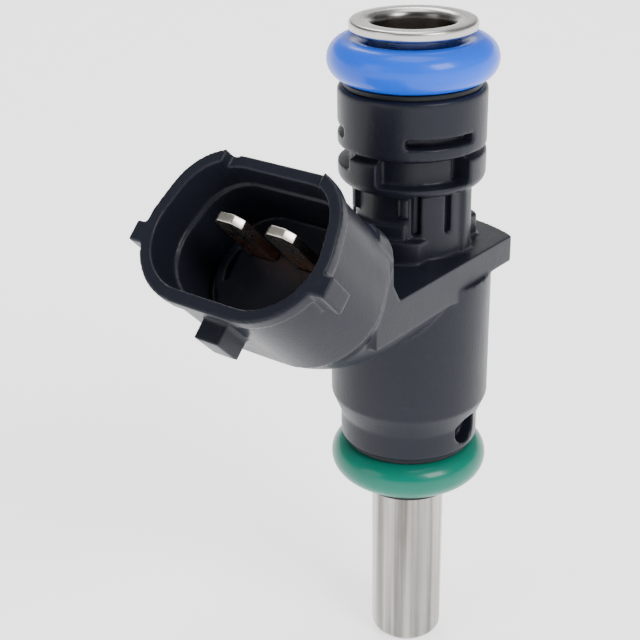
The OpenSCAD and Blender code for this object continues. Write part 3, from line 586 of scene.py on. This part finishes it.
# %% Terminal blades
SHARP = math.radians(25)
FLAT = math.radians(1)
COINING = 0.09 * MM
for node, name in (("terminal_left", "blade_left"), ("terminal_right", "blade_right")):
    blade = merged_copy(node, name)
    shape = bmesh.new()
    shape.from_mesh(blade.data)
    bmesh.ops.dissolve_limit(shape, angle_limit=FLAT, verts=shape.verts, edges=shape.edges)
    sharp = [e for e in shape.edges if e.is_manifold and e.calc_face_angle() > SHARP]
    bmesh.ops.bevel(shape, geom=sharp, offset=COINING, offset_type="OFFSET", profile=0.5,
                    segments=3, affect="EDGES", material=-1, clamp_overlap=True)
    bmesh.ops.triangulate(shape, faces=shape.faces)
    shape.to_mesh(blade.data)
    shape.free()
    dress(blade, "injector_body", blade_tin, "tinned_terminal", node)
    flats = blade.modifiers.new("flats", "WEIGHTED_NORMAL")
    flats.keep_sharp = True

# %% [markdown]
# ## Return spring
# A coiling machine winds the spring from round wire, with its end turns closed. Here a circle
# is screwed up the axis in three runs: a closed turn, the open turns, and a closed turn.

# %% Return spring
SPRING_WIRE = 0.35 * MM
SPRING_TURNS = 9
STEPS_A_TURN = 36
WIRE_STEPS = 16
spring_low, spring_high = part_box("return_spring")
spring_length = spring_high[2] - spring_low[2]
coil_r = spring_high[0] - SPRING_WIRE / 2
open_pitch = (spring_length - 3 * SPRING_WIRE) / (SPRING_TURNS - 2)
shape = bmesh.new()
wire_start = Matrix.Translation(Vector((coil_r, 0.0, spring_low[2] + SPRING_WIRE / 2)))
upright = Matrix.Rotation(math.pi / 2, 4, "X")
bmesh.ops.create_circle(shape, cap_ends=True, segments=WIRE_STEPS, radius=SPRING_WIRE / 2,
                        matrix=wire_start @ upright)
run = list(shape.verts) + list(shape.edges) + list(shape.faces)
for turns, pitch in ((1, SPRING_WIRE), (SPRING_TURNS - 2, open_pitch), (1, SPRING_WIRE)):
    screwed = bmesh.ops.spin(shape, geom=run, axis=(0, 0, 1), cent=(0, 0, 0),
                             dvec=(0, 0, pitch / STEPS_A_TURN), steps=STEPS_A_TURN * turns,
                             angle=2 * math.pi * turns)
    run = screwed["geom_last"]
wound_spring = close_up(shape, "wound_spring")
dress(wound_spring, "injector_body", spring_steel, "spring_steel", "return_spring")
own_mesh(wound_spring)
print("spring length", round(spring_length / MM, 2), "mm")

# %% [markdown]
# ## What stays as it is
# The coil, the magnet parts, the valve and the filter are exact turned shapes already, mostly
# hidden in the body. They keep their CAD meshes and get their own metals and plastics.

# %% Materials of the hidden pieces
finishes = {
    "filter_ring": brass,
    "filter_frame": natural_plastic,
    "filter_mesh": mesh_wire,
    "coil_bobbin": natural_plastic,
    "coil_winding": copper,
    "coil_leads": copper,
    "magnet_housing": magnet_steel,
    "flux_cover": magnet_steel,
    "stator_core": magnet_steel,
    "adjusting_sleeve": fine_steel,
    "armature": magnet_steel,
    "needle_tube": fine_steel,
    "valve_ball": ball_steel,
    "valve_seat": fine_steel,
    "guide_ring": fine_steel,
    "orifice_plate": fine_steel,
}
for node, material in finishes.items():
    mesh = nodes[node].data
    mesh.materials.clear()
    mesh.materials.append(material)
print("finished", len(finishes), "hidden pieces")

# %% [markdown]
# ## Floor
# The injector stands on its nose on a plain pale floor that curves up at its edge, so that no
# horizon shows from a low angle. The floor glows, which keeps it pale and the shadow faint
# while the light on the dark plastic stays low.

# %% Floor
FLAT_R = 1.2
COVE_R = 0.35
COVE_STEPS = 8
FLOOR_TURN_STEPS = 96
FLOOR_GAP = 0.05 * MM
PAPER_GLOW = 1.35
floor_z = cad_box[0][2] - FLOOR_GAP
shape = bmesh.new()
outline = [shape.verts.new((0.0, 0.0, floor_z))]
for i in range(COVE_STEPS + 1):
    rise = math.pi / 2 * i / COVE_STEPS
    out = FLAT_R + COVE_R * math.sin(rise)
    outline.append(shape.verts.new((out, 0.0, floor_z + COVE_R * (1 - math.cos(rise)))))
for low, high in zip(outline, outline[1:]):
    shape.edges.new((low, high))
full_turn(shape, FLOOR_TURN_STEPS)
floor = close_up(shape, "floor")
floor.data.polygons.foreach_set("use_smooth", [True] * len(floor.data.polygons))
paper = Shader("pale_paper", (0.93, 0.93, 0.93), roughness=0.9, Specular_IOR_Level=0.1,
               Emission_Color=(1.0, 1.0, 1.0, 1.0), Emission_Strength=PAPER_GLOW)
paper.to("Base Color", paper.mix(paper.noise(40.0), (0.92, 0.92, 0.92), (0.95, 0.95, 0.95)))
floor.data.materials.append(paper.material)
print("floor at", round(floor_z / MM, 3), "mm, flat to", FLAT_R, "m")

# %% [markdown]
# ## Light
# Four square soft lights draw the long highlights down the metal and round the seals: a key in
# front on the right, a weaker fill on the left, a rim light behind and a wide one above. A
# plain white world lifts the shadows a little.

# %% Light
WORLD_LIGHT = 0.28
INJECTOR_MIDDLE = Vector((-0.006, 0.0, 0.032))


def soft_light(name, place, size, power):
    """A square area light that points at the middle of the injector."""
    lamp = bpy.data.lights.new(name, "AREA")
    lamp.size = size
    lamp.energy = power
    light = bpy.data.objects.new(name, lamp)
    light.location = place
    aim = INJECTOR_MIDDLE - light.location
    light.rotation_euler = aim.to_track_quat("-Z", "Y").to_euler()
    bpy.context.scene.collection.objects.link(light)


soft_light("key", (-0.10, -0.55, 0.50), 0.30, 4.2)
soft_light("fill", (-0.60, 0.25, 0.35), 0.35, 1.0)
soft_light("rim", (0.35, 0.35, 0.55), 0.30, 2.4)
soft_light("top", (0.0, 0.0, 0.80), 0.45, 2.4)
world = bpy.data.worlds.new("studio")
world.use_nodes = True
background = world.node_tree.nodes["Background"]
background.inputs["Color"].default_value = (1.0, 1.0, 1.0, 1.0)
background.inputs["Strength"].default_value = WORLD_LIGHT
bpy.context.scene.world = world
print("lights: 4 and a white world")

# %% [markdown]
# ## Camera
# The camera looks down on the injector from the socket's side, about 12 cm away. Its lens is
# moderately long, so the perspective shows without stretching the near end.

# %% Camera
CAMERA_PLACE = Vector((-90.9, -62.1, 86.07)) * MM
FORWARD = Vector((0.7066, 0.5643, -0.4268)).normalized()
UP_HINT = Vector((0.3453, 0.2514, 0.9041))
LENS_LENGTH = 74.68
SENSOR_WIDTH = 36.0
NEAREST = 1 * MM
right = FORWARD.cross(UP_HINT).normalized()
up = right.cross(FORWARD).normalized()
lens = bpy.data.cameras.new("camera")
lens.lens = LENS_LENGTH
lens.sensor_width = SENSOR_WIDTH
lens.clip_start = NEAREST
camera = bpy.data.objects.new("camera", lens)
turn = Matrix((right, up, -FORWARD)).transposed().to_4x4()
camera.matrix_world = Matrix.Translation(CAMERA_PLACE) @ turn
bpy.context.scene.collection.objects.link(camera)
bpy.context.scene.camera = camera
print("camera at", [round(v / MM, 1) for v in camera.location], "mm, lens", lens.lens)
